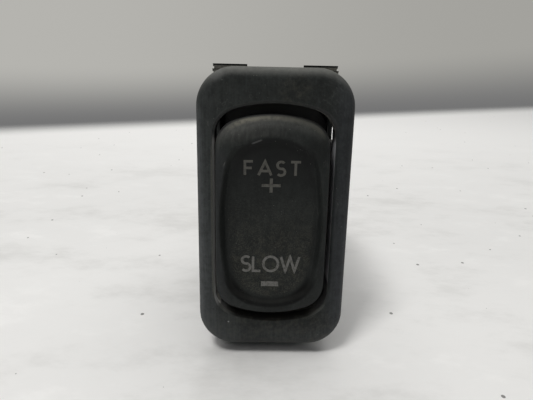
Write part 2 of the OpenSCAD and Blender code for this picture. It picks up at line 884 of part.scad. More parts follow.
module lamp_supply_terminal() mirror([1, 0, 0]) lamp_terminal();

module lamp_ground_terminal() lamp_terminal();

// Plate that closes the body at the rear and carries the terminals and the springs
module base() {
    color(base_grey)
        difference() {
            union() {
                slab(base_y, rear_y)
                    rounded_box(hollow_w - 2 * loose_fit, hollow_h - 2 * loose_fit,
                                body_corner_r - loose_fit);
                // Seats behind the terminals' pads
                both_sides() both_ends()
                    block(pad_in_x, blade_x - blade_t / 2 - loose_fit, seat_y, base_y + join,
                          plunger_z - blade_w / 2, plunger_z + blade_w / 2);
                // Spigots that centre the springs
                for (s = [-1, 1])
                    bar(spigot_y, base_y + join, spigot_r, 0, s * plunger_z);
                // Latches that snap into the body's side walls
                both_sides() both_ends()
                    translate([0, 0, latch_z - latch_w / 2])
                        linear_extrude(height = latch_w)
                            polygon([
                                [hollow_w / 2 - latch_land, base_y + latch_land],
                                [hollow_w / 2 - loose_fit, base_y + latch_land],
                                [hollow_w / 2 + latch_reach, rear_y - latch_land - loose_fit],
                                [hollow_w / 2 + latch_reach, rear_y - loose_fit],
                                [hollow_w / 2 - latch_land, rear_y - loose_fit]
                            ]);
            }
            // Slots for the switch terminals
            both_sides() both_ends()
                blade_slot(plunger_z, base_y - cut);
            // Slots for the lamp terminals, narrow in front for their pins
            both_sides() {
                blade_slot(0, base_y + join);
                pin_block(blade_x, base_y - cut, base_y + cut, press_fit);
            }
        }
}

// Slot that holds a blade, from a depth in the base out through its rear
module blade_slot(z, from) {
    block(blade_x - blade_t / 2 - press_fit, blade_x + blade_t / 2 + press_fit,
          from, rear_y + cut,
          z - blade_w / 2 - press_fit, z + blade_w / 2 + press_fit);
}

// Circuit board of the lamps, flat on the partition
module lamp_board() {
    color(board_green)
        difference() {
            slab(board_y, partition_y)
                rounded_box(board_w, board_h, board_t);
            both_sides()
                pin_block(blade_x, board_y - cut, partition_y + cut, press_fit);
        }
}

// A lamp in a square case with a round lens
module lamp() {
    color(lamp_white)
        translate([0, 0, lamp_z])
            union() {
                block(-lamp_w / 2, lamp_w / 2, board_y - lamp_t, board_y,
                      -lamp_h / 2, lamp_h / 2);
                bar(board_y - lamp_t - lamp_lens_h, board_y - lamp_t + lamp_lens_h, lamp_lens_r);
            }
}

module upper_lamp() lamp();

module lower_lamp() mirror([0, 0, 1]) lamp();

module lamp_resistor() {
    color(resistor_black)
        block(resistor_x - resistor_l / 2, resistor_x + resistor_l / 2,
              board_y - resistor_t, board_y, -resistor_w / 2, resistor_w / 2);
}

housing();
rocker();
rocker_lens();
pivot_pin();
upper_plunger();
lower_plunger();
upper_return_spring();
lower_return_spring();
upper_contact_bridge();
lower_contact_bridge();
upper_moving_contacts();
lower_moving_contacts();
base();
increase_input_terminal();
increase_output_terminal();
decrease_input_terminal();
decrease_output_terminal();
upper_fixed_contacts();
lower_fixed_contacts();
lamp_supply_terminal();
lamp_ground_terminal();
lamp_board();
upper_lamp();
lower_lamp();
lamp_resistor();
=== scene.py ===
# %% [markdown]
# # A worn dash-panel rocker switch
#
# The switch is small, black and matte, so its look comes from three things: how softly its
# edges turn, how dark the gaps around the rocker are, and the pale film that years of dust and
# fingers leave on black plastic. The solids come from the packed model and stay where they
# are. This script rounds their edges, gives every piece its material, prints the legends and
# sets the floor, the light and the camera.

# %% Load the frame
from math import cos, pi, radians, sin

import bpy
import bmesh
from mathutils import Matrix, Vector
from mathutils.bvhtree import BVHTree


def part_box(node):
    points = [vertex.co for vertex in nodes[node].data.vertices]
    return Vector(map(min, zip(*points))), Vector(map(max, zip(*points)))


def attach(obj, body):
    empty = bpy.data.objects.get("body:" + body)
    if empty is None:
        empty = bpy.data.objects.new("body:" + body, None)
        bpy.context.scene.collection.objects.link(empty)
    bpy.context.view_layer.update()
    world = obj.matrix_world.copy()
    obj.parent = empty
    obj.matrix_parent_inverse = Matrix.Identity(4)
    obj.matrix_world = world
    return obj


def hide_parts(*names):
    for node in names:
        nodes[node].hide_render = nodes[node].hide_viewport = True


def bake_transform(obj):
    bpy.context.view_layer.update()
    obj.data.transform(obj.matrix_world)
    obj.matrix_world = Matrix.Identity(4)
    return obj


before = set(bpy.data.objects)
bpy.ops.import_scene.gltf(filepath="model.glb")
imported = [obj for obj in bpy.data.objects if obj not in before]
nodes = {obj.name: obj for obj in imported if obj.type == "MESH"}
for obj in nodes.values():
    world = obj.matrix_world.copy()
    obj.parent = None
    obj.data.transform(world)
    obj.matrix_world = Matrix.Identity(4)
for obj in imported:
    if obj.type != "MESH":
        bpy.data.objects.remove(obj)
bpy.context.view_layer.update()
MM = 0.001

# %% [markdown]
# ## Camera
# The photograph is a close one: the lens stands about 70 mm in front of the bezel and a little
# above it, which is why the bezel narrows toward the bottom and the tops of the snap legs
# show. Its place could be matched by eye, but it was worked out from the bezel's own outline,
# whose size is known, so every other part of the picture can be compared with the photograph.

# %% Place the camera
LOOK_DOWN = radians(13.75)
LOOK_ASIDE = radians(-0.96)
ROLL = radians(1.21)
LENS_PLACE = Vector((-2.38, -70.9, 19.78)) * MM
# The focal length and the width of the photograph in its own pixels, and the sensor in mm
FOCAL_PIXELS, FRAME_PIXELS = 414.0, 533.0
SENSOR = 36.0
CLIP = (0.005, 20)


def add(name, data):
    """A new object in the scene."""
    thing = bpy.data.objects.new(name, data)
    bpy.context.scene.collection.objects.link(thing)
    return thing


# Right, down and forward of the camera before it is turned, in the object's frame
level = Matrix(((1, 0, 0), (0, 0, -1), (0, 1, 0)))
turn = (Matrix.Rotation(ROLL, 3, "Z") @ Matrix.Rotation(LOOK_DOWN, 3, "X")
        @ Matrix.Rotation(LOOK_ASIDE, 3, "Y"))
right, down, ahead = turn @ level
lens = bpy.data.cameras.new("camera")
lens.sensor_width = SENSOR
lens.lens = SENSOR * FOCAL_PIXELS / FRAME_PIXELS
lens.clip_start, lens.clip_end = CLIP
camera = add("camera", lens)
camera.matrix_world = Matrix.Translation(LENS_PLACE) @ Matrix(
    (right, -down, -ahead)).transposed().to_4x4()
bpy.context.scene.camera = camera
print("lens: %.1f mm, looking along" % lens.lens, [round(c, 3) for c in ahead])

# %% [markdown]
# ## Writing materials as formulas
# A procedural material is arithmetic on the position of a point, so it reads best as a
# formula. `Value` wraps a socket and turns each operator into a Math node. Its `between` is
# the brush for everything below: a soft step from nothing to all between two numbers.

# %% Arithmetic on sockets
class Value:
    """A socket that takes part in arithmetic; each operator adds a Math node."""

    def __init__(self, shade, socket):
        self.shade, self.socket = shade, socket

    def math(self, operation, *others, clamp=False):
        return self.shade.math(operation, self, *others, clamp=clamp)

    def __add__(self, other):
        return self.math("ADD", other)

    def __sub__(self, other):
        return self.math("SUBTRACT", other)

    def __mul__(self, other):
        return self.math("MULTIPLY", other)

    def __radd__(self, other):
        return self.shade.math("ADD", other, self)

    def __rsub__(self, other):
        return self.shade.math("SUBTRACT", other, self)

    def __rmul__(self, other):
        return self.shade.math("MULTIPLY", other, self)

    def between(self, low, high):
        """0 at low, 1 at high, smooth between them; high may lie below low."""
        span = (self - low).math("DIVIDE", high - low, clamp=True)
        return span * span * (3 - 2 * span)


print("between gives", Value.between.__doc__)

# %% [markdown]
# `Formula` holds a node tree. It adds any node in one call, and sets each of its sockets to a
# constant or links it, whichever it is given.

# %% Node trees
# The sockets of a Mix node that hold its share, its two colours and its result
MIX_SHARE, MIX_FIRST, MIX_SECOND, MIX_RESULT = 0, 6, 7, 2


class Formula:
    """A node tree that is written as arithmetic."""

    def __init__(self, tree):
        self.tree = tree

    def put(self, socket, value):
        if isinstance(value, Value):
            self.tree.links.new(value.socket, socket)
        elif isinstance(value, bpy.types.Node):
            self.tree.links.new(value.outputs[0], socket)
        elif isinstance(value, bpy.types.NodeSocket):
            self.tree.links.new(value, socket)
        else:
            socket.default_value = value

    def node(self, kind, settings=None, sockets=None):
        made = self.tree.nodes.new(kind)
        for name, value in (settings or {}).items():
            setattr(made, name, value)
        for name, value in (sockets or {}).items():
            self.put(made.inputs[name], value)
        return made

    def parts(self, vector):
        made = self.node("ShaderNodeSeparateXYZ", {}, {0: vector})
        return [Value(self, made.outputs[i]) for i in range(3)]

    def math(self, operation, *values, clamp=False):
        made = self.node("ShaderNodeMath", {"operation": operation, "use_clamp": clamp},
                         dict(enumerate(values)))
        return Value(self, made.outputs[0])

    def mix(self, share, first, second):
        """The first colour where the share is 0, the second where it is 1."""
        made = self.node("ShaderNodeMix", {"data_type": "RGBA"},
                         {MIX_SHARE: share, MIX_FIRST: first, MIX_SECOND: second})
        return made.outputs[MIX_RESULT]


print("mix gives", Formula.mix.__doc__)

# %% [markdown]
# `Shade` makes one material. Its formula starts from where a point is and which way its surface
# faces. Positions are in millimetres in the object's own frame, so a grain of 0.2 reads as
# 0.2 mm and stays on the piece when it moves. `inside` measures how deep a point lies within a
# bowed outline such as the opening's or the dish's, so that wear can follow an edge.

# %% Materials
# How widely a bowed outline's side and end melt into each other at a corner, in mm
CORNER_BLEND = 5.0


class Shade(Formula):
    """One material, with the place of a point in mm and the way its surface faces."""

    def __init__(self, name):
        self.material = bpy.data.materials.new(name)
        self.material.use_nodes = True
        super().__init__(self.material.node_tree)
        self.shader = self.tree.nodes["Principled BSDF"]
        where = self.node("ShaderNodeTexCoord")
        self.place = self.node("ShaderNodeVectorMath", {"operation": "SCALE"},
                               {0: where.outputs["Object"], "Scale": 1 / MM})
        self.x, self.y, self.z = self.parts(self.place)
        _, self.facing_y, self.facing_z = self.parts(where.outputs["Normal"])

    def stretched(self, x, y, z):
        return self.node("ShaderNodeVectorMath", {"operation": "MULTIPLY"},
                         {0: self.place, 1: (x, y, z)})

    def noise(self, per_mm, detail=2.0, rough=0.5, place=None):
        """Cloudy noise from about 0 to 1, with per_mm features to the millimetre."""
        made = self.node("ShaderNodeTexNoise", {},
                         {"Vector": place or self.place, "Scale": per_mm,
                          "Detail": detail, "Roughness": rough})
        return Value(self, made.outputs["Fac"])

    def cells(self, per_mm, dimensions="3D"):
        """Distance to the nearest of scattered points, and a random number for it."""
        made = self.node("ShaderNodeTexVoronoi", {"voronoi_dimensions": dimensions},
                         {"Vector": self.place, "Scale": per_mm})
        chance = self.node("ShaderNodeSeparateColor", {}, {0: made.outputs["Color"]})
        return Value(self, made.outputs["Distance"]), Value(self, chance.outputs[0])

    def inside(self, across, up, half_w, half_h, end_r, side_r=0):
        """Depth in mm of a point inside an outline with bowed ends, below 0 outside it."""
        side = (side_r - self.length(across + (side_r - half_w), up) if side_r
                else half_w - across)
        end = end_r - self.length(across, up + (end_r - half_h))
        return side.math("SMOOTH_MIN", end, CORNER_BLEND)

    def length(self, a, b):
        return (a * a + b * b).math("SQRT")

    def bump(self, height, distance_mm, strength):
        made = self.node("ShaderNodeBump", {},
                         {"Height": height, "Distance": distance_mm * MM,
                          "Strength": strength})
        return made.outputs[0]

    def finish(self, **sockets):
        """The material, with its shader's sockets set or linked by name."""
        for name, value in sockets.items():
            self.put(self.shader.inputs[name.replace("_", " ")], value)
        return self.material


def grey(level, warm=0.0, green=0.0):
    """A near-grey colour for the shader from an sRGB level of 0 to 255."""
    shift = (warm, 0.6 * warm + green, -warm)
    channels = [(level + part) / 255 for part in shift]
    return tuple(((c + 0.055) / 1.055) ** 2.4 if c > 0.04045 else c / 12.92
                 for c in channels) + (1.0,)


print("the housing's black:", [round(channel, 4) for channel in grey(28)])

# %% [markdown]
# ## Black moulded plastic
# The bezel, the rocker and the base are glass-filled nylon from a spark-eroded mould, which
# leaves an even, dull grain of about a fifth of a millimetre. Black plastic doesn't stay black.
# Dust settles on what faces up, skin leaves a paler film in cloudy patches, wiping draws faint
# streaks along the piece, and a few pale crumbs stand out because the ground is so dark. Such
# wear could be painted on an unwrapped image, but noise measured in millimetres needs no
# unwrapping and keeps its scale on every piece. So each kind of wear is one term of the
# formula, and each piece sets its own amounts. What belongs to one place on one piece is a
# layer: a mask and the colour that it brings.

# %% Plastic
BLACK = grey(7, -1, 1)
# A near-black for painted shade
PAINTED_SHADE = grey(5, 0, 0)
# A pale film, also used for painted light
FILM_AND_LIGHT = grey(80, -2, 2)
EARTH = grey(98, 4, 2)
# How far the grain darkens and lightens the plastic's own level
GRAIN = 0.34


def plastic(name, level, film, dust, crumbs=1.0, scuffs=1.0, film_level=62, rough=0.62,
            layers=None):
    """Black plastic; where a layer paints shade in near-black, the surface is dull as well."""
    shade = Shade(name)
    clouds = shade.noise(0.2, 3, 0.55)
    patches = shade.noise(1.0, 4, 0.65)
    fine = shade.noise(5.0, 3, 0.7)
    streaks = shade.noise(1.0, 3, 0.6, shade.stretched(2.4, 2.4, 0.12))
    mottle = shade.noise(2.4, 3, 0.75)
    colour = shade.mix((fine * 0.45 + mottle * 0.55).between(0.3, 0.7),
                       grey(level * (1 - GRAIN), -1, 2), grey(level * (1 + GRAIN), -1, 2.5))
    worn = (clouds * 0.45 + patches * 0.3 + streaks * 0.25).between(0.40, 0.66) * film
    colour = shade.mix(worn, colour, grey(film_level, -1, 3))
    roughness = (rough - 0.10) + 0.16 * fine + 0.10 * worn

    # Dust on what faces up, and then what belongs to one place, both wear and painted light and
    # shade
    settled = shade.facing_z.between(0.15, 0.95) * (0.7 + 0.3 * patches.between(0.3, 0.7))
    colour = shade.mix(settled * dust, colour, grey(100, 2, 1.5))
    for mask, tint in (layers(shade, patches, fine, streaks) if layers else []):
        mask = mask.math("MINIMUM", 1.0)
        colour = shade.mix(mask, colour, tint)
        # Painted shade is dull as well, so that no highlight shows on it
        if tint is PAINTED_SHADE:
            roughness = roughness + (1.0 - rough) * mask

    # Pale crumbs, and scuffs as thin as a hair
    distance, chance = shade.cells(2.2)
    crumb = (chance.between(0.86, 1.0) * 0.15 - distance).between(0.0, 0.05) * crumbs
    colour = shade.mix(crumb * 0.5, colour, grey(132, 4))
    wander = shade.noise(0.55, 2, 0.5, shade.stretched(1.0, 1.0, 0.35))
    scuff = ((wander - 0.5).math("ABSOLUTE").between(0.0045, 0.001)
             * clouds.between(0.45, 0.6) * scuffs)
    colour = shade.mix(scuff * 0.2, colour, grey(96, 2))

    height = fine * 0.7 + shade.noise(11.0, 1) * 0.3 + crumb * 0.5
    return shade.finish(
        Base_Color=colour,
        Roughness=roughness,
        Specular_IOR_Level=0.2,
        Normal=shade.bump(height, 0.02, 0.5),
    )


def near(shade, x, z, radius):
    """1 at a place on the front, falling to 0 at a radius from it."""
    return shade.length(shade.x - x, shade.z - z).between(radius, radius * 0.5)


base_finish = plastic("base_plastic", 44, film=0.15, dust=0.25, crumbs=0.3, scuffs=0.2)
print("plain plastic:", base_finish.name)

# %% [markdown]
# The bezel is worn where hands reach it. Its outer edges carry a pale film, and painted light
# makes them paler at the left and below and bluish at the right. Earthy dust lies low on it,
# with a brown touch above the opening, and a few scratches and a pale speck stand on its face,
# with a painted highlight on the roll at the upper left corner. The steps of the snap legs face
# the panel and keep their dust, which painted light makes paler still. Most masks are soft
# steps in x, y and z, multiplied where all of them must hold and added where one is enough.

# %% Film, painted light and marks on the bezel
# A pale film on the bezel's outer edges with painted light: paler at the left and below, bluish
# at the right
def bezel_film_and_light(shade, patches, streaks, front):
    x, z = shade.x, shade.z
    cloudy = 0.55 + 0.45 * patches.between(0.3, 0.7) + 0.35 * streaks.between(0.4, 0.7)
    lower = z.between(18.0, -13.0)
    left = (x.between(-8.5, -11.8) * (0.2 + 0.4 * lower)
            + x.between(-11.5, -12.8) * z.between(20.0, 15.0) * 0.5)
    right = x.between(8.5, 11.0) * 0.12 + x.between(9.8, 12.6) * (0.06 + 0.16 * lower)
    low = (z.between(-19.0, -23.0)
           * (0.24 + 0.16 * (x.math("ABSOLUTE") - 3.0).between(0.0, 6.0))
           + z.between(-16.5, -19.0) * x.between(-5.0, -8.5) * 0.26)
    return [
        (left * front * cloudy, FILM_AND_LIGHT),
        (right * front * cloudy, grey(80, -5, 0)),
        (low * front * cloudy, FILM_AND_LIGHT),
    ]


def bezel_marks(shade, patches, streaks, front):
    x, y, z = shade.x, shade.y, shade.z
    up = z.math("ABSOLUTE")
    earthy = (z.between(-15.5, -21.0) + near(shade, 3.0, 21.0, 3.5)) * front
    # Fine curved scratches around the right-hand corners
    turn = shade.length(x - 5.5, up - 15.5)
    rings = (turn * 11.0 + patches * 9.0).math("SINE").between(0.4, 1.0)
    curved = rings * turn.between(2.5, 3.5) * x.between(5.5, 8.0) * up.between(16.0, 18.5)
    fibres = shade.noise(1.0, 3, 0.7, shade.stretched(1.5, 7.0, 9.0)).between(0.35, 0.65)
    # Dust on the steps of the snap legs, with painted light that makes them paler still
    steps = (shade.facing_y.between(-0.4, -0.8) * y.between(3.2, 3.35)
             * up.between(22.5, 22.7) * up.between(25.38, 25.26))
    speck = near(shade, -7.7, -19.7, 0.18)
    # A painted highlight on the roll at the upper left corner
    roll_highlight = near(shade, -9.9, 23.9, 1.9) * (0.5 + 0.5 * streaks)
    return [
        (earthy * patches.between(0.42, 0.68) * 0.35, grey(62, 5)),
        (curved * patches.between(0.45, 0.6) * front * 0.08, grey(110)),
        (steps * (0.45 + 0.5 * fibres), grey(112, 5)),
        (speck * front * 0.4, grey(190)),
        (roll_highlight * 0.22, grey(120)),
    ]


print("bezel:", bezel_film_and_light.__name__, bezel_marks.__name__)

# %% [markdown]
# The gap around the rocker is narrow, so what shows of it is mostly the tone of its two sides.
# The opening's edge is rubbed pale, with earth caught along it at the left. Its chamfers and the
# walls behind that edge carry painted light, and the upper left corner and the sill carry
# painted shade. A mask for the edge could be drawn one side at a time, but `inside` gives one
# depth for the whole bowed outline, and a soft step of that depth follows it all the way round.

# %% Wear, painted light and painted shade around the opening
# Half the size of the opening in the bezel, and the radius of its bowed ends
OPENING_HALF = (10.0, 19.1)
OPENING_END_R = 24.0


def opening_wear_light_and_shade(shade, fine):
    x, y, z = shade.x, shade.y, shade.z
    across = x.math("ABSOLUTE")
    opening = shade.inside(across, z.math("ABSOLUTE"), *OPENING_HALF, OPENING_END_R)
    behind = y.between(-2.65, -2.5)
    rubbed = (opening.between(-0.75, -0.4) * y.between(-0.8, -1.6) * z.between(14.0, 9.0)
              * z.between(-16.0, -13.5) * x.between(0.0, -5.0) * fine.between(0.25, 0.6))
    # Painted light on the opening's upper and left chamfers
    brow = opening.between(-0.6, -0.3) * z.between(14.0, 16.0) * y.between(-2.4, -2.6)
    lip = (opening.between(-0.42, -0.3) * y.between(-2.4, -2.52) * x.between(-9.0, -9.6)
           * z.between(14.5, 12.5) * z.between(-17.0, -15.0))
    # Painted light on the walls behind the opening's edge, paler still on the left and right
    # walls
    hollow = opening.between(-0.3, -0.15) * behind
    wall = opening.between(-0.12, -0.02) * behind
    cheek = wall * x.between(-9.0, -9.4) * z.between(14.0, 12.0)
    jamb = wall * x.between(9.0, 9.4) * z.between(14.0, 12.5) * z.between(-12.5, -11.0)
    # Painted shade in the upper left corner of the gap
    nook = hollow * x.between(-8.9, -9.4) * z.between(13.0, 14.5)
    # Painted light on the walls seen at the upper right and along the bottom of the gap
    turned = x.between(5.0, 7.0) * z.between(14.0, 15.5) * y.between(0.6, -0.4)
    reveal = hollow * (turned + z.between(-13.0, -15.5) * across.between(9.0, 7.0))
    # Painted shade along the bottom of the opening, dull as well
    sill = (opening.between(-0.5, -0.3) * z.between(-16.0, -18.0) * y.between(-0.5, -1.0)
            * across.between(9.0, 6.0))
    return [
        (rubbed * 0.6, EARTH),
        (brow * 0.35, grey(70)),
        (lip * 0.85, grey(134, 1)),
        (hollow * 0.85, grey(88)),
        (cheek * 0.85, grey(196, 4)),
        (jamb * 0.85, grey(190, -2)),
        (nook * 0.9, BLACK),
        (reveal * 0.85, grey(118, 3)),
        (sill * 0.88, PAINTED_SHADE),
    ]


def housing_layers(shade, patches, fine, streaks):
    front = shade.y.between(-1.2, -1.8)
    return (bezel_film_and_light(shade, patches, streaks, front) + opening_wear_light_and_shade(shade, fine)
            + bezel_marks(shade, patches, streaks, front))


housing_finish = plastic("housing_plastic", 28, film=0.45, dust=0.72, layers=housing_layers)
print("housing:", len(housing_finish.node_tree.nodes), "nodes")

# %% [markdown]
# The rocker is worn by fingertips, which leave dust on the rim above and press brown grime into
# the grain lower down. The dish's slope, its upper floor and the edges around the dish carry
# painted shade, and the crest, the upper left corner and the left side of the rim carry painted
# light. The marks follow two outlines, the cap's and the dish's, and so stay on the edges they
# belong to.

# %% Wear, painted light and painted shade on the rocker
# The rocker stands off centre by its side play, and its dish sits a little low
ROCKER_X, DISH_Z = -0.35, -1.0
ROCKER_HALF = (9.45, 17.4)
ROCKER_END_R = 21.0
DISH_HALF = (8.9, 14.7)
DISH_SIDE_R, DISH_END_R = 50.0, 12.5


def rocker_layers(shade, patches, fine, streaks):
    x, z = shade.x, shade.z
    across = (x - ROCKER_X).math("ABSOLUTE")
    edge = shade.inside(across, z.math("ABSOLUTE"), *ROCKER_HALF, ROCKER_END_R)
    dish = shade.inside(across, (z - DISH_Z).math("ABSOLUTE"), *DISH_HALF, DISH_END_R,
                        DISH_SIDE_R)
    top = z.between(13.0, 15.0)
    # Painted shade: the dish's slope and its upper floor, a groove along its lower edge, a line
    # at its upper brink and a patch at its right shoulder are darkened
    slope = dish.between(0.0, 0.5) * dish.between(2.3, 1.2)
    slope = slope * (0.1 + 0.14 * x.between(4.0, 7.0) + 0.75 * z.between(8.0, 12.0))
    groove = dish.between(-0.7, -0.2) * dish.between(1.4, 0.7) * z.between(-9.0, -13.0)
    brink = (dish.between(-0.2, 0.3) * dish.between(1.1, 0.7) * z.between(12.0, 13.0)
             * x.between(-3.0, -1.0))
    shoulder = near(shade, 6.8, 11.2, 3.2)
    upper = dish.between(0.6, 1.6) * z.between(2.0, 12.0)
    # The outermost band of the top edge is darkened
    back = edge.between(0.34, 0.1) * top
    # A pale crest along the top: yellowish dust with a painted highlight, strongest at the left
    crest = (edge.between(0.12, 0.45) * edge.between(1.25, 0.6) * top
             * x.between(-8.6, -6.0))
    # Dust on the rim above the dish, which painted light makes paler at the left
    left = x.between(6.0, -5.0)
    rim = dish.between(0.1, -0.5) * z.between(12.0, 14.2)
    # A painted highlight along the upper left corner's edge
    corner = (edge.between(0.1, 0.3) * edge.between(0.8, 0.45) * x.between(-6.5, -8.5)
              * z.between(10.0, 13.0))
    # Painted light, bluish, on the rim's left side
    sides = dish.between(0.2, -0.2) * x.between(-7.0, -8.6) * z.between(13.0, 10.0)
    skirt = shade.y.between(-3.4, -3.0) * edge.between(0.2, 0.05)
    # Brown grime in the grain toward the lower end
    grime = (z.between(5.0, -9.0) * dish.between(1.0, 2.0)
             * (patches * 0.5 + fine * 0.5).between(0.44, 0.62))
    grain = fine.between(0.5, 0.68) * z.between(9.0, -6.0) * dish.between(0.8, 2.0)
    # A painted glint: a thin pale streak at the upper left brink of the dish
    glint = near(shade, -3.0, 13.0, 1.1) * ((x + 3.0) * 0.4 - (z - 13.0)).math(
        "ABSOLUTE").between(0.22, 0.08)
    return [
        (slope, BLACK),
        (upper * 0.75, BLACK),
        (rim * (0.12 + 0.14 * streaks.between(0.4, 0.65)) * left, grey(92, 2)),
        (crest * (0.12 + 0.4 * left * patches.between(0.3, 0.6)), grey(124, 9)),
        (sides * 0.25, grey(60, -2)),
        (corner * 0.15, grey(100, 2)),
        (groove * (0.7 + 0.15 * across.between(2.0, 5.0)), PAINTED_SHADE),
        (brink * 0.7, BLACK),
        (shoulder * 0.4, BLACK),
        (skirt * 0.5, grey(70)),
        (back * 0.85, BLACK),
        (grime * 0.3, grey(74, 7)),
        (grain * 0.22, grey(86, 4)),
        (glint * 0.4, grey(112)),
    ]


rocker_finish = plastic("rocker_plastic", 27, film=0.4, dust=0.6, film_level=52, rough=0.58,
                        layers=rocker_layers)
print("rocker:", len(rocker_finish.node_tree.nodes), "nodes")

# %% [markdown]
# ## Metals of the contacts and springs
# Terminals are stamped from tinned brass, which shows fine lines along the strip and goes dull
# and cloudy with age. The bridges are bare copper alloy, browned in patches. The springs and
# the pin are drawn steel with faint die lines. Silver contact buttons are the brightest things
# inside, with a grey bloom here and there. They differ only in colour, in how rough and cloudy
# they are and in which way their lines run, so one function makes them all. Its noise is
# stretched along the lines, which is how a cloud becomes a brush mark.

# %% Metals
def metal(name, colour, dull, stretch, rough=0.3, cloud=0.6):
    shade = Shade(name)
    lines = shade.noise(1.0, 3, 0.6, shade.stretched(*stretch))
    stain = shade.noise(0.7, 3, 0.6).between(0.4, 0.72) * cloud
    pits = shade.noise(7.0, 2, 0.7)
    shown = shade.mix(lines.between(0.3, 0.7) * 0.35, colour, dull)
    shown = shade.mix(stain, shown, dull)
    return shade.finish(
        Base_Color=shown,
        Metallic=1.0,
        Roughness=rough + 0.18 * lines + 0.3 * stain,
        Normal=shade.bump(lines * 0.7 + pits * 0.3, 0.006, 0.5),
    )


tin_finish = metal("tinned_brass", (0.52, 0.52, 0.50, 1), (0.30, 0.28, 0.24, 1), (9, 0.6, 9))
copper_finish = metal("copper_strip", (0.62, 0.33, 0.19, 1), (0.25, 0.13, 0.08, 1),
                      (0.6, 9, 9), 0.34)
silver_finish = metal("contact_silver", (0.78, 0.77, 0.74, 1), (0.34, 0.33, 0.33, 1),
                      (3, 3, 3), 0.26, 0.4)
spring_finish = metal("spring_steel", (0.47, 0.48, 0.49, 1), (0.22, 0.21, 0.20, 1),
                      (3, 12, 3), 0.28, 0.3)
pin_finish = metal("pin_steel", (0.52, 0.53, 0.54, 1), (0.24, 0.22, 0.20, 1),
                   (14, 2, 2), 0.26, 0.35)
metals = (tin_finish, copper_finish, silver_finish, spring_finish, pin_finish)
print("metals:", [finish.name for finish in metals])

# %% [markdown]
# ## Small inner pieces
# The plungers are natural acetal, a waxy off-white with greyish flow lines and some grime. The
# light plate behind the rocker is milky polycarbonate. The lamps sit on a green laminate whose
# weave shows faintly through the solder mask, with a ceramic resistor beside them. Waxy plastic
# lets light a little way in. A small share of subsurface scattering shows that, where a plain
# colour would look like chalk. The weave could be an image, but two sine waves do as well.

# %% Acetal, light plate, board, lamps and resistor
def waxy(name, colour, shadow, streak, rough=0.38, glow=0.0):
    shade = Shade(name)
    flow = shade.noise(1.0, 3, 0.55, shade.stretched(*streak))
    grime = shade.noise(2.2, 3, 0.6).between(0.5, 0.8) * 0.45
    shown = shade.mix(flow.between(0.3, 0.7), colour, shadow)
    shown = shade.mix(grime, shown, (0.16, 0.15, 0.12, 1))
    return shade.finish(
        Base_Color=shown,
        Roughness=rough + 0.14 * flow + 0.2 * grime,
        Subsurface_Weight=glow,
        Subsurface_Scale=0.6 * MM,
        Normal=shade.bump(flow * 0.6 + shade.noise(9.0) * 0.4, 0.008, 0.4),
    )


def laminate(name):
    shade = Shade(name)
    weave = ((shade.x * 9.0).math("SINE") * (shade.z * 9.0).math("SINE")).between(-0.6, 0.6)
    haze = shade.noise(0.8, 3, 0.6)
    track = (shade.x.math("ABSOLUTE") - 2.6).math("ABSOLUTE").between(0.32, 0.26)
    shown = shade.mix(haze, (0.018, 0.105, 0.04, 1), (0.03, 0.16, 0.07, 1))
    shown = shade.mix(weave * 0.16, shown, (0.05, 0.22, 0.10, 1))
    shown = shade.mix(track * 0.35, shown, (0.09, 0.24, 0.08, 1))
    return shade.finish(
        Base_Color=shown,
        Roughness=0.30 + 0.2 * haze,
        Normal=shade.bump(weave * 0.5 + track * 0.8, 0.012, 0.5),
    )


plunger_finish = waxy("plunger_plastic", (0.72, 0.70, 0.61, 1), (0.62, 0.60, 0.52, 1),
                      (2, 0.4, 2), glow=0.15)
lens_finish = waxy("lens_plastic", (0.80, 0.81, 0.76, 1), (0.72, 0.73, 0.68, 1),
                   (0.5, 0.5, 0.5), 0.30, glow=0.3)
lamp_finish = waxy("lamp_plastic", (0.84, 0.82, 0.70, 1), (0.76, 0.72, 0.56, 1),
                   (1.5, 1.5, 1.5), 0.2, glow=0.2)
resistor_finish = waxy("resistor_ceramic", (0.012, 0.012, 0.014, 1), (0.03, 0.03, 0.03, 1),
                       (3, 3, 3), 0.25)
board_finish = laminate("board_laminate")
print("inner pieces:", plunger_finish.name, lens_finish.name, board_finish.name)

# %% [markdown]
# ## Dress the nodes
# A moulding has no perfectly sharp edge, and neither does a stamping, so each node gets a small
# bevel that catches the light. The solids could carry such roundings, but they would be slow to
# build, and modifiers round the visual mesh alone. Flat neighbours are joined first, so that
# the bevel follows the real edges and not the triangles that the faces were cut into.

# %% Soft edges
WELD_WITHIN = 0.002 * MM
# Faces that meet at less than the first angle are one face, and edges above the second are cut
FLAT_BELOW, BEVEL_ABOVE = radians(0.6), radians(28)
BEVEL_STEPS = 3
# Over 50, so that large faces keep their direction and the narrow ones beside them bend
LARGE_FACES_LEAD = 60


def soften(thing, width_mm):
    joined = thing.modifiers.new("weld", "WELD")
    joined.merge_threshold = WELD_WITHIN
    flat = thing.modifiers.new("flat", "DECIMATE")
    flat.decimate_type = "DISSOLVE"
    flat.angle_limit = FLAT_BELOW
    edge = thing.modifiers.new("edge", "BEVEL")
    edge.width = width_mm * MM
    edge.segments = BEVEL_STEPS
    edge.limit_method = "ANGLE"
    edge.angle_limit = BEVEL_ABOVE
    edge.miter_outer = "MITER_ARC"
    even = thing.modifiers.new("even", "WEIGHTED_NORMAL")
    even.weight = LARGE_FACES_LEAD


def dress(name, finish, width_mm):
    thing = nodes[name]
    thing.data.materials.clear()
    thing.data.materials.append(finish)
    for face in thing.data.polygons:
        face.use_smooth = True
        face.material_index = 0
    soften(thing, width_mm)


print("edges soften above %d degrees" % round(BEVEL_ABOVE * 180 / pi))

# %% [markdown]
# Each node gets a finish, the width of its bevel in mm, and the record's slot that the finish
# stands for. Most mouldings have wider edges than stampings. Metal nodes that are alike share
# one line, and the end of their names picks it.

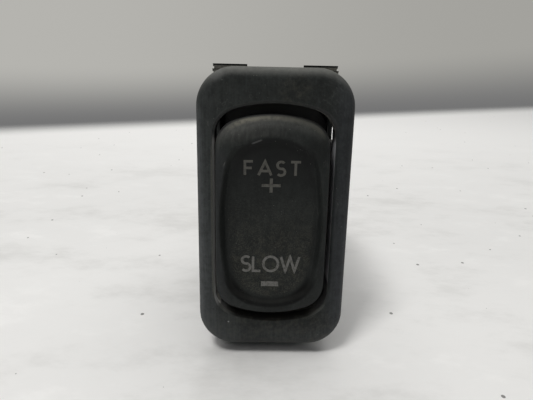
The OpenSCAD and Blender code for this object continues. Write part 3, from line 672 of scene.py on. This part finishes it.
# %% Give each node its material
FINISHES = {
    "housing": (housing_finish, 0.12, "housing_plastic"),
    "rocker": (rocker_finish, 0.16, "rocker_plastic"),
    "rocker_lens": (lens_finish, 0.06, "lens_plastic"),
    "pivot_pin": (pin_finish, 0.10, "steel"),
    "base": (base_finish, 0.08, "base_plastic"),
    "lamp_board": (board_finish, 0.04, "board_laminate"),
    "lamp_resistor": (resistor_finish, 0.06, "resistor_ceramic"),
    "upper_plunger": (plunger_finish, 0.08, "plunger_plastic"),
    "lower_plunger": (plunger_finish, 0.08, "plunger_plastic"),
    "upper_lamp": (lamp_finish, 0.08, "lamp_plastic"),
    "lower_lamp": (lamp_finish, 0.08, "lamp_plastic"),
}
METALS = {
    "_terminal": (tin_finish, 0.06, "tinned_brass"),
    "_bridge": (copper_finish, 0.05, "copper_strip"),
    "_contacts": (silver_finish, 0.12, "contact_silver"),
}
for ending, finish in METALS.items():
    FINISHES.update({name: finish for name in nodes if name.endswith(ending)})
for name, (finish, width_mm, slot) in FINISHES.items():
    dress(name, finish, width_mm)
print("dressed:", len(FINISHES), "of", len(nodes))

# %% [markdown]
# ## Return springs
# A coil stands between the base and each contact bridge and pushes its plunger forward. Its
# first and last turns lie closed, and the turns between share the rest of its length. The solid
# spring is coarse and can't bend, so a finer coil of the same size takes its place. It is not
# tied to the housing or the plunger, so it keeps its wound length when the rocker tips.

# %% Wind the springs
WIRE_R, COIL_R, COIL_Z = 0.22, 1.65, 11.0
COIL_TURNS, CLOSED_PITCH = 6, 0.462
PER_TURN, WIRE_SIDES = 32, 10


def rise(turn, length):
    """How far along the spring its wire has come after so many turns."""
    if turn < 1:
        return turn * CLOSED_PITCH
    if turn > COIL_TURNS - 1:
        return length - (COIL_TURNS - turn) * CLOSED_PITCH
    return CLOSED_PITCH + (length - 2 * CLOSED_PITCH) * (turn - 1) / (COIL_TURNS - 2)


def as_mesh(bm, name):
    """A mesh of the faces drawn so far, all of them turned the same way."""
    bmesh.ops.recalc_face_normals(bm, faces=bm.faces)
    mesh = bpy.data.meshes.new(name)
    bm.to_mesh(mesh)
    bm.free()
    return mesh


def wind(name, front, rear, side):
    """A spring between two depths in mm, above (side 1) or below (side -1) the pin."""
    bm = bmesh.new()
    rings = []
    for i in range(COIL_TURNS * PER_TURN + 1):
        turned = 2 * pi * i / PER_TURN
        middle = front + WIRE_R + rise(i / PER_TURN, rear - front - 2 * WIRE_R)
        ring = []
        for k in range(WIRE_SIDES):
            around = 2 * pi * k / WIRE_SIDES
            reach = COIL_R + WIRE_R * cos(around)
            ring.append(bm.verts.new(MM * Vector((
                reach * cos(turned), middle + WIRE_R * sin(around),
                side * (COIL_Z + reach * sin(turned))))))
        rings.append(ring)
    for a, b in zip(rings, rings[1:]):
        for k in range(WIRE_SIDES):
            n = (k + 1) % WIRE_SIDES
            bm.faces.new((a[k], a[n], b[n], b[k]))
    bm.faces.new(rings[0])
    bm.faces.new(rings[-1])
    mesh = as_mesh(bm, name)
    for face in mesh.polygons:
        face.use_smooth = len(face.vertices) == 4
    return mesh


print("turns:", COIL_TURNS, "of", 2 * WIRE_R, "mm wire, closed ones", CLOSED_PITCH, "mm apart")

# %% [markdown]
# Each coil is wound to the length of the solid that it stands for, and takes its place.

# %% Put the springs in
for end, side in (("upper", 1), ("lower", -1)):
    node = end + "_return_spring"
    low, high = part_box(node)
    mesh = wind(end + "_coil", low.y / MM, high.y / MM, side)
    mesh.materials.append(spring_finish)
    coil = add(mesh.name, mesh)
    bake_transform(coil)
    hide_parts(node)
    print(node, "from y = %.2f to %.2f mm" % (low.y / MM, high.y / MM))

# %% [markdown]
# ## Legends
# The rocker carries two words and their signs, printed in pale grey ink that fingers have worn
# into patches. The words here are plain ones for what the ends do, in plain strokes of one
# width. Text objects could spell them, but a font would set the shapes and the spaces, and the
# letters would still have to be bent to the dish. So each stroke is a flat ribbon that takes
# its depth from the plastic under it.

# %% Draw the strokes
STROKE = 0.44
# The signs are drawn with broader strokes than the words
SIGN_STROKES = {"legend_plus": 0.52, "legend_minus": 0.86}


def curve(cx, cy, r, start, end, count=14, squash=1.0):
    """Points on an arc from one angle to another, in degrees."""
    return [(cx + squash * r * cos(radians(start + (end - start) * i / count)),
             cy + r * sin(radians(start + (end - start) * i / count)))
            for i in range(count + 1)]


# Letters on a cap height of 1: their width and their strokes
LETTERS = {
    "F": (0.56, [[(0, 0), (0, 1), (0.56, 1)], [(0, 0.52), (0.48, 0.52)]]),
    "A": (0.92, [[(0, 0), (0.46, 1), (0.92, 0)], [(0.15, 0.31), (0.77, 0.31)]]),
    "S": (0.56, [curve(0.28, 0.745, 0.255, 38, 270, squash=1.06)
                 + curve(0.28, 0.255, 0.255, 90, -142, squash=1.10)[1:]]),
    "T": (0.70, [[(0, 1), (0.70, 1)], [(0.35, 1), (0.35, 0)]]),
    "L": (0.50, [[(0, 1), (0, 0), (0.50, 0)]]),
    "O": (1.00, [curve(0.5, 0.5, 0.5, 90, 450, 32)]),
    "W": (1.24, [[(0, 1), (0.31, 0), (0.62, 1), (0.93, 0), (1.24, 1)]]),
}


def word(letters, left, right_end, low, high):
    """Strokes of a word set between two edges, its spaces all alike."""
    height = high - low - STROKE
    widths = [LETTERS[c][0] * height for c in letters]
    space = (right_end - left - STROKE - sum(widths)) / (len(letters) - 1)
    at, strokes = left + STROKE / 2, []
    for c, width in zip(letters, widths):
        for stroke in LETTERS[c][1]:
            strokes.append([(at + px * height, low + STROKE / 2 + pz * height)
                            for px, pz in stroke])
        at += width + space
    return strokes


legend_strokes = {
    "legend_fast": word("FAST", -5.15, 4.54, 7.16, 9.93),
    "legend_plus": [[(-2.1, 5.6), (1.1, 5.6)], [(-0.5, 4.36), (-0.5, 6.84)]],
    "legend_slow": word("SLOW", -5.55, 4.95, -9.95, -6.92),
    "legend_minus": [[(-1.9, -12.03), (1.13, -12.03)]],
}
print("strokes:", {name: len(strokes) for name, strokes in legend_strokes.items()})

# %% [markdown]
# The ribbon of a stroke has rows of points across its line, with faces between the rows. At a
# bend the two edges meet on the line that halves the angle, as a pen's would. A shrinkwrap
# modifier could lay the ribbon down, but a ray from in front gives the depth of each point at
# once, and puts it a hair above the plastic.

# %% Ribbons that lie on the rocker
INK_PROUD = 0.015 * MM
# The largest distance between points along a stroke in mm, and what rounds their number up
STEP, ROUND_UP = 0.25, 0.999
RAY_FROM_Y = -10
# The points of a row lie at these shares of half the stroke's width
ROW = (-1, -0.33, 0.33, 1)
# The cosine of half the sharpest bend whose corner is drawn to its full point
SHARPEST_MITRE = 0.42
SAME_PLACE = 1e-4

rocker_mesh = nodes["rocker"].data
surface = BVHTree.FromPolygons([v.co.copy() for v in rocker_mesh.vertices],
                               [tuple(p.vertices) for p in rocker_mesh.polygons])


def on_rocker(x, z):
    hit, _, _, _ = surface.ray_cast(Vector((x, RAY_FROM_Y, z)) * MM, Vector((0, 1, 0)))
    return hit - Vector((0, INK_PROUD, 0))


def finer(line):
    """The same line with points no more than STEP apart."""
    points = [Vector(line[0])]
    for a, b in zip(line, line[1:]):
        a, b = Vector(a), Vector(b)
        parts = max(1, int((b - a).length / STEP + ROUND_UP))
        points += [a.lerp(b, i / parts) for i in range(1, parts + 1)]
    return points


def ribbon(bm, line, width):
    points = finer(line)
    steps = [b - a for a, b in zip(points, points[1:])]
    closed = (points[0] - points[-1]).length < SAME_PLACE
    rows = []
    for i, point in enumerate(points):
        before = steps[i - 1] if i or closed else steps[0]
        after = steps[i % len(steps)] if i < len(steps) or closed else before
        along = (before.normalized() + after.normalized()).normalized()
        across = Vector((-along.y, along.x))
        reach = width / 2 / max(SHARPEST_MITRE, along.dot(after.normalized()))
        rows.append([bm.verts.new(on_rocker(*(point + across * reach * side)))
                     for side in ROW])
    for a, b in zip(rows, rows[1:]):
        for k in range(len(ROW) - 1):
            bm.faces.new((a[k], a[k + 1], b[k + 1], b[k]))


print("a ray at the middle meets the rocker at y = %.2f mm" % (on_rocker(0, 0).y / MM))

# %% [markdown]
# The ink is worn off in patches, so the dark plastic shows through it, and it is paler on
# the lower word than on the upper one. Mixing a dark grey into its colour looks the
# same as holes in the ribbons would, and needs no clear material.

# %% Print the legends
def ink():
    shade = Shade("legend_ink")
    patch = shade.noise(1.5, 3, 0.7)
    fine = shade.noise(6.5, 2, 0.7)
    gone = (patch * 0.55 + fine * 0.45).between(0.47, 0.62)
    upper = shade.z.between(-9.0, 8.0)
    kept = shade.mix(upper, grey(108, 2), grey(86, 3))
    colour = shade.mix(gone * 0.7, kept, grey(56, 2))
    return shade.finish(
        Base_Color=colour,
        Roughness=0.58 + 0.1 * fine,
        Specular_IOR_Level=0.26,
        Normal=shade.bump(fine, 0.015, 0.4),
    )


ink_finish = ink()
for name, strokes in legend_strokes.items():
    bm = bmesh.new()
    for stroke in strokes:
        ribbon(bm, stroke, SIGN_STROKES.get(name, STROKE))
    mesh = as_mesh(bm, name)
    if mesh.polygons[0].normal.y > 0:
        mesh.flip_normals()
    mesh.materials.append(ink_finish)
    legend = add(name, mesh)
    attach(legend, "rocker")
    print(name, len(mesh.polygons), "faces")

# %% [markdown]
# ## Table, backdrop and light
# The switch lies on its two lower legs and the rear edges of its rails, so it leans back a
# little. The floor is set to touch both. It is white paper with faint creases and a few dark
# grains, and it ends in a blurred line where the photograph's table does.

# %% Floor
LEG_FOOT = Vector((0, 6.3, -25.6)) * MM
RAIL_FOOT = Vector((0, 30.0, -22.4)) * MM
FLOOR_GAP = 0.02 * MM
FLOOR_SIDE, FLOOR_FRONT, FLOOR_BACK = 0.9, -0.55, 0.60

lean = (RAIL_FOOT - LEG_FOOT).normalized()
floor_mesh = bpy.data.meshes.new("floor")
floor_corners = [(-FLOOR_SIDE, FLOOR_FRONT), (FLOOR_SIDE, FLOOR_FRONT),
                 (FLOOR_SIDE, FLOOR_BACK), (-FLOOR_SIDE, FLOOR_BACK)]
floor_mesh.from_pydata(
    [LEG_FOOT + Vector((x, 0, 0)) + lean * run - Vector((0, 0, FLOOR_GAP))
     for x, run in floor_corners], [], [(0, 1, 2, 3)])
floor = add("floor", floor_mesh)
print("floor leans %.2f degrees" % (180 / pi * lean.angle(Vector((0, 1, 0)))))

# %% [markdown]
# The paper is nearly one shade of white, with a dark grain here and there. Soft creases that
# all run aslant are painted on it as darker and paler streaks, the painted shade and light of
# their folds, and painted light makes it paler toward the table's far edge. That edge is out of
# focus in the photograph, and letting the paper fade to clear gives the same soft line.

# %% Paper
# The table's far edge: how far back it lies in mm, its slant, and half the width of its blur
FAR_EDGE, FAR_SLANT, FAR_BLUR = 234, 0.329, 20
CREASE_TURN, CREASE_PER_MM = radians(40), (0.024, 0.05, 0.0)

shade = Shade("floor")
shade.material.surface_render_method = "BLENDED"
beyond = shade.y - FAR_SLANT * shade.x - FAR_EDGE
paper = shade.noise(0.02, 3, 0.5)
slanted = shade.node("ShaderNodeMapping", {}, {
    "Vector": shade.place, "Rotation": (0, 0, CREASE_TURN), "Scale": CREASE_PER_MM})
crease = shade.noise(1.0, 6, 0.68, slanted)
distance, chance = shade.cells(0.075, "2D")
grit = (chance.between(0.45, 1.0) * 0.032 - distance).between(0.0, 0.008)
floor_colour = shade.mix(paper, grey(229, 1), grey(239, 1))
# Painted shade and painted light of the creases, as darker and paler streaks
floor_colour = shade.mix(crease.between(0.48, 0.70) * 0.35, floor_colour, grey(190, 2))
floor_colour = shade.mix(crease.between(0.46, 0.32) * 0.5, floor_colour, grey(246, 1))
# Painted light: paler toward the far edge
floor_colour = shade.mix(shade.y.between(50.0, 210.0), floor_colour, grey(252, 1))
floor_mesh.materials.append(shade.finish(
    Base_Color=shade.mix(grit * 0.8, floor_colour, grey(90, 2)),
    Roughness=0.85,
    Specular_IOR_Level=0.2,
    Alpha=beyond.between(FAR_BLUR, -FAR_BLUR),
))
print("paper:", len(shade.tree.nodes), "nodes")

# %% [markdown]
# The wall is far away and out of focus, so it needs no mesh: it is the colour of the world in
# each direction. It is a warm grey, with painted light that makes it paler at the left and a
# painted shadow that darkens it toward the table's far edge, whose slant it shares. The camera,
# reflections and clear pieces see this wall, and everything else is lit by a faint blue sky.

# %% Wall and sky
# Square, within half a degree, to the plane through the camera and the table's far edge
EDGE_PLANE = Vector((-0.0548, 0.0433, 0.9976))
SKY_BLUE, SKY_STRENGTH = (0.93, 0.97, 1.0, 1), 0.06

world = bpy.data.worlds.new("world")
world.use_nodes = True
bpy.context.scene.world = world
world.node_tree.nodes.clear()
sky = Formula(world.node_tree)
toward = sky.parts(sky.node("ShaderNodeTexCoord").outputs["Generated"])
above = toward[0] * EDGE_PLANE.x + toward[1] * EDGE_PLANE.y + toward[2] * EDGE_PLANE.z
# Painted light: paler at the left
wall = sky.mix(toward[0].between(-0.5, 0.55), grey(178, 3), grey(160, 3))
# A painted shadow toward the table's far edge
wall = sky.mix(above.between(0.125, 0.0), wall, grey(116, 0))
paths = sky.node("ShaderNodeLightPath").outputs
seen = sky.math("MAXIMUM", sky.math("MAXIMUM", paths["Is Camera Ray"], paths["Is Glossy Ray"]),
                paths["Is Transmission Ray"])
lighting = sky.node("ShaderNodeBackground", {},
                    {"Color": SKY_BLUE, "Strength": SKY_STRENGTH})
backdrop = sky.node("ShaderNodeBackground", {}, {"Color": wall, "Strength": 1.0})
either = sky.node("ShaderNodeMixShader", {}, {0: seen, 1: lighting, 2: backdrop})
sky.node("ShaderNodeOutputWorld", {}, {"Surface": either})
print("wall:", len(world.node_tree.nodes), "nodes")

# %% [markdown]
# A broad lamp hangs over the switch and a little behind it, like a ceiling light over a desk. A
# small one high at the left in front throws the shadow to the right and back, and a weak broad
# one in front lifts the bezel's face. So what faces up is pale and what faces forward is dark.

# %% Lamps
# Each lamp's place and size in metres, its watts and its tint
LAMPS = {
    "ceiling": ((0.06, 0.11, 0.61), (0.7, 0.45), 2.3, (1, 0.99, 0.975)),
    "key": ((-0.19, -0.24, 0.58), (0.14, 0.14), 1.95, (1, 0.99, 0.975)),
    "front": ((-0.10, -0.45, 0.55), (0.6, 0.4), 0.55, (1, 0.99, 0.98)),
}


def softbox(name, place, size, watts, tint):
    """A rectangular lamp that faces the switch."""
    data = bpy.data.lights.new(name, "AREA")
    data.shape = "RECTANGLE"
    data.size, data.size_y = size
    data.energy = watts
    data.color = tint
    lamp = add(name, data)
    lamp.location = place
    lamp.rotation_mode = "QUATERNION"
    lamp.rotation_quaternion = Vector(place).to_track_quat("Z", "Y")


for name, values in LAMPS.items():
    softbox(name, *values)
bpy.context.scene.view_settings.view_transform = "Standard"

# %% [markdown]
